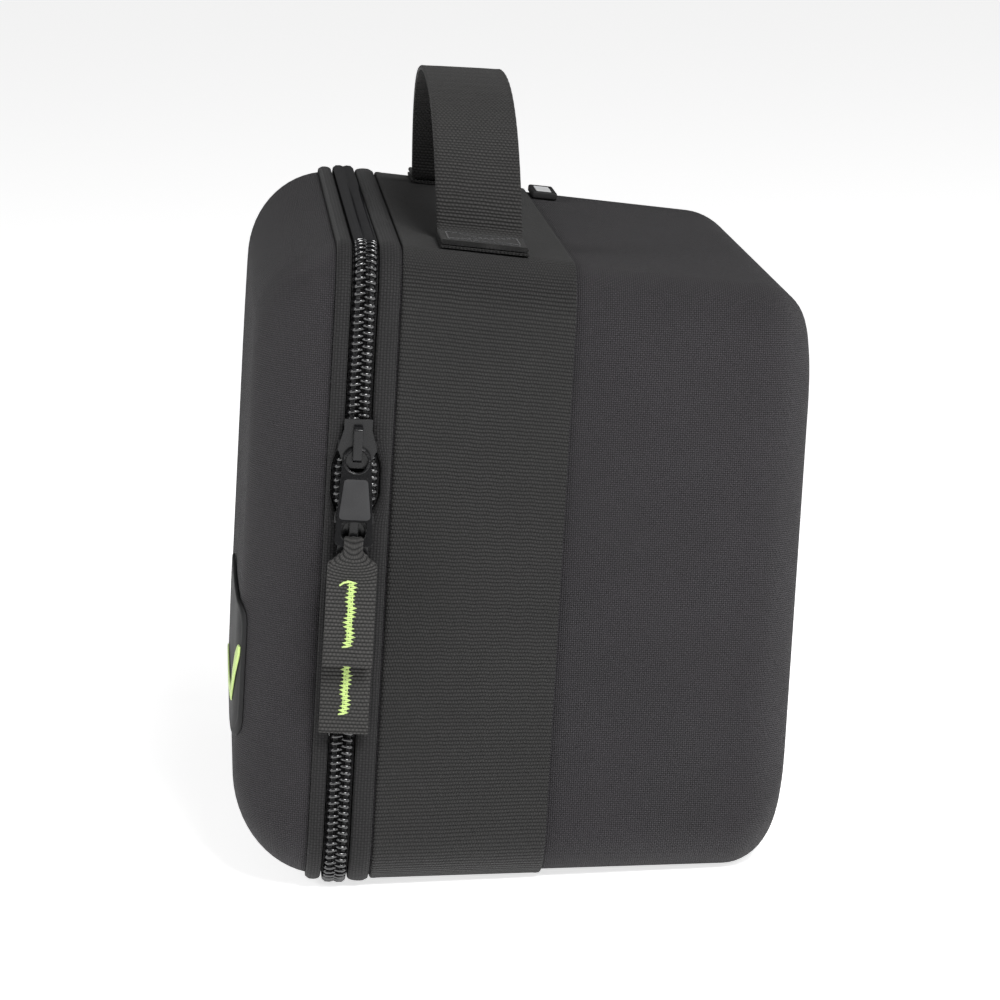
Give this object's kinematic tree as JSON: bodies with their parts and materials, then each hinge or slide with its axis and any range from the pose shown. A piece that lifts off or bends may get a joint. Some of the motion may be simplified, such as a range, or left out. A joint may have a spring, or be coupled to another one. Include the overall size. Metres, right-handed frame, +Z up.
{
  "type": "zippered hard carrying case",
  "caption": "Hard-shell zippered carrying case with a deep body, a hinged lid, a webbing band and top handle, and a two-slider zip with webbing pulls.",
  "frame": {"origin": "bottom centre of the bounding box, on the surface the case stands on", "axes": "+X toward the side with the zip sliders, -Y toward the lid, +Z up; the case leans back a little on its base"},
  "size_m": [0.2558, 0.171, 0.227],
  "materials": {
    "shell_fabric": "woven fabric bonded over a moulded foam shell",
    "lining_fabric": "smooth knitted lining",
    "foam": "open-cell foam",
    "webbing": "woven webbing",
    "binding": "woven binding and coated strip",
    "nylon_coil": "glossy nylon filament",
    "painted_metal": "black lacquered die-cast metal",
    "rubber": "soft moulded rubber",
    "neon_thread": "bright yellow-green thread",
    "black_thread": "bonded thread",
    "white_plastic": "satin white plastic",
    "mesh_fabric": "knitted net"
  },
  "bodies": {
    "case": {"body_shell": "shell_fabric", "body_lining": "lining_fabric", "foam_pad": "foam", "body_rim_binding": "binding", "body_zip_tape": "webbing", "body_zip_coil": "nylon_coil", "body_hinge_gusset": "binding", "webbing_band": "webbing", "top_block": "rubber", "top_block_inlay": "white_plastic", "handle_end_right": "webbing", "handle_end_left": "webbing", "handle_stitching_right": "black_thread", "handle_stitching_left": "black_thread"},
    "lid": {"lid_shell": "shell_fabric", "lid_lining": "lining_fabric", "lid_rim_binding": "binding", "lid_zip_tape": "webbing", "lid_zip_coil": "nylon_coil", "lid_hinge_gusset": "binding", "mesh_pocket": "mesh_fabric", "pocket_binding": "webbing", "badge": "rubber", "badge_mark": "neon_thread"},
    "upper_slider": {"upper_slider_body": "painted_metal", "upper_slider_crown": "painted_metal"},
    "upper_puller": {"upper_puller": "painted_metal"},
    "upper_tab": {"upper_tab_webbing": "webbing", "upper_tab_bartack": "neon_thread"},
    "lower_slider": {"lower_slider_body": "painted_metal", "lower_slider_crown": "painted_metal"},
    "lower_puller": {"lower_puller": "painted_metal"},
    "lower_tab": {"lower_tab_webbing": "webbing", "lower_tab_bartack": "neon_thread"},
    "handle": {"handle_strap": "webbing"}
  },
  "joints": [
    {"name": "lid_hinge", "type": "hinge", "parent": "case", "child": "lid", "pos_m": [-0.12816, -0.05647, 0.00276], "axis": [0, -0.0752, -0.9972], "range_deg": [0, 180]},
    {"name": "upper_slider_slide", "type": "slide", "parent": "case", "child": "upper_slider", "axis": [0, 0.0752, 0.9972], "range_m": [0, 0.03], "deforming": ["body_zip_coil", "lid_zip_coil", "body_zip_tape", "lid_zip_tape"]},
    {"name": "lower_slider_slide", "type": "slide", "parent": "case", "child": "lower_slider", "axis": [0, -0.0752, -0.9972], "range_m": [0, 0.074], "deforming": ["body_zip_coil", "lid_zip_coil", "body_zip_tape", "lid_zip_tape"]},
    {"name": "upper_puller_swing", "type": "hinge", "parent": "upper_slider", "child": "upper_puller", "pos_m": [0.12094, -0.04686, 0.1301], "axis": [0, -0.9972, 0.0752], "range_deg": [0, 165]},
    {"name": "lower_puller_swing", "type": "hinge", "parent": "lower_slider", "child": "lower_puller", "pos_m": [0.12094, -0.04837, 0.11016], "axis": [0, -0.9972, 0.0752], "range_deg": [0, 2]},
    {"name": "upper_tab_swing", "type": "hinge", "parent": "upper_puller", "child": "upper_tab", "pos_m": [0.12586, -0.04886, 0.10368], "axis": [0, 0.9972, -0.0752], "range_deg": [-120, 2]},
    {"name": "lower_tab_swing", "type": "hinge", "parent": "lower_puller", "child": "lower_tab", "pos_m": [0.12094, -0.0504, 0.08328], "axis": [0, 0.9972, -0.0752], "range_deg": [-6, 2]},
    {"name": "handle_press", "type": "slide", "parent": "case", "child": "handle", "axis": [0, 0, -1], "range_m": [0, 0.025], "stiffness_N_per_m": 60, "deforming": ["handle_strap"]}
  ]
}
